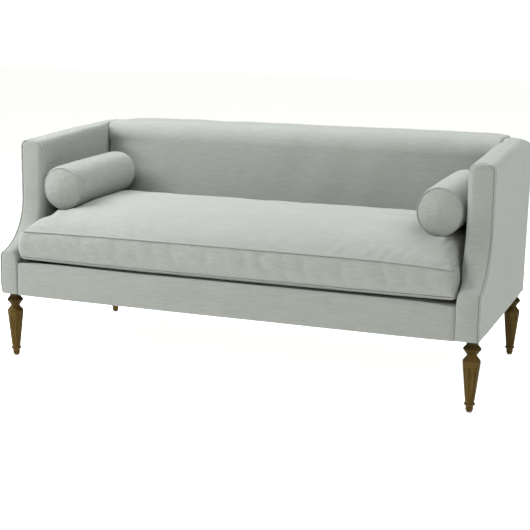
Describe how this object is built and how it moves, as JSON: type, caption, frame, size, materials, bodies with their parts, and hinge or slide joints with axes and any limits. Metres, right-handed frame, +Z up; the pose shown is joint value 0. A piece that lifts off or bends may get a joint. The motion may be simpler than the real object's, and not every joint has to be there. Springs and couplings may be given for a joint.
{
  "type": "settee",
  "caption": "Upholstered settee with scooped arm fronts, a bench seat cushion, loose bolsters and short turned, reeded wooden legs.",
  "frame": {"origin": "on the floor, at the centre of the settee's outline", "axes": "+X along the seat towards the sitter's left, -Y out of the front, +Z up"},
  "size_m": [1.68, 0.86, 0.8],
  "materials": {
    "linen": "pale sage linen weave with fine slubs",
    "cushion_linen": "pale sage linen weave with fine slubs",
    "bolster_linen": "pale sage linen weave with fine slubs",
    "linen_piping": "bias cut linen over cord",
    "leg_wood": "medium brown stain, satin wax",
    "frame_timber": "sawn hardwood, bare",
    "steel": "zinc plated",
    "webbing": "woven elastic webbing",
    "dust_cloth": "matt non-woven cloth",
    "core": "open-cell foam and fibre"
  },
  "bodies": {
    "settee": {"front_rail": "frame_timber", "rear_rail": "frame_timber", "side_rail_left": "frame_timber", "side_rail_right": "frame_timber", "centre_brace": "frame_timber", "leg_block_front_left": "frame_timber", "leg_block_front_right": "frame_timber", "leg_block_rear_left": "frame_timber", "leg_block_rear_right": "frame_timber", "arm_post_left": "frame_timber", "arm_post_right": "frame_timber", "arm_top_rail_left": "frame_timber", "arm_top_rail_right": "frame_timber", "arm_lower_rail_left": "frame_timber", "arm_lower_rail_right": "frame_timber", "back_post_left": "frame_timber", "back_post_right": "frame_timber", "back_top_rail": "frame_timber", "back_lower_rail": "frame_timber", "back_rib_outer_left": "frame_timber", "back_rib_inner_left": "frame_timber", "back_rib_inner_right": "frame_timber", "back_rib_outer_right": "frame_timber", "seat_springs": "steel", "spring_clips": "steel", "back_webbing": "webbing", "dust_cover": "dust_cloth", "seat_deck": "linen", "front_border": "linen", "arm_front_left": "linen", "arm_front_right": "linen", "arm_welt_left": "linen_piping", "arm_welt_right": "linen_piping", "inside_arm_left": "linen", "inside_arm_right": "linen", "outside_arm_left": "linen", "outside_arm_right": "linen", "inside_back": "linen", "outside_back": "linen", "leg_front_left": "leg_wood", "leg_front_right": "leg_wood", "leg_rear_left": "leg_wood", "leg_rear_right": "leg_wood", "leg_plates": "steel", "leg_bolts": "steel", "foot_glides": "steel"},
    "seat_cushion": {"cushion_cover": "cushion_linen", "cushion_core": "core", "cushion_piping": "linen_piping", "cushion_zip": "cushion_linen"},
    "bolster_left": {"bolster_cover_left": "bolster_linen", "bolster_core_left": "core", "bolster_piping_left": "linen_piping"},
    "bolster_right": {"bolster_cover_right": "bolster_linen", "bolster_core_right": "core", "bolster_piping_right": "linen_piping"}
  },
  "joints": [
    {"name": "cushion_lift", "type": "slide", "parent": "settee", "child": "seat_cushion", "axis": [0, 0, 1], "range_m": [0, 0.25]},
    {"name": "bolster_lift_left", "type": "slide", "parent": "seat_cushion", "child": "bolster_left", "axis": [0, 0, 1], "range_m": [0, 0.2]},
    {"name": "bolster_lift_right", "type": "slide", "parent": "seat_cushion", "child": "bolster_right", "axis": [0, 0, 1], "range_m": [0, 0.2]}
  ]
}
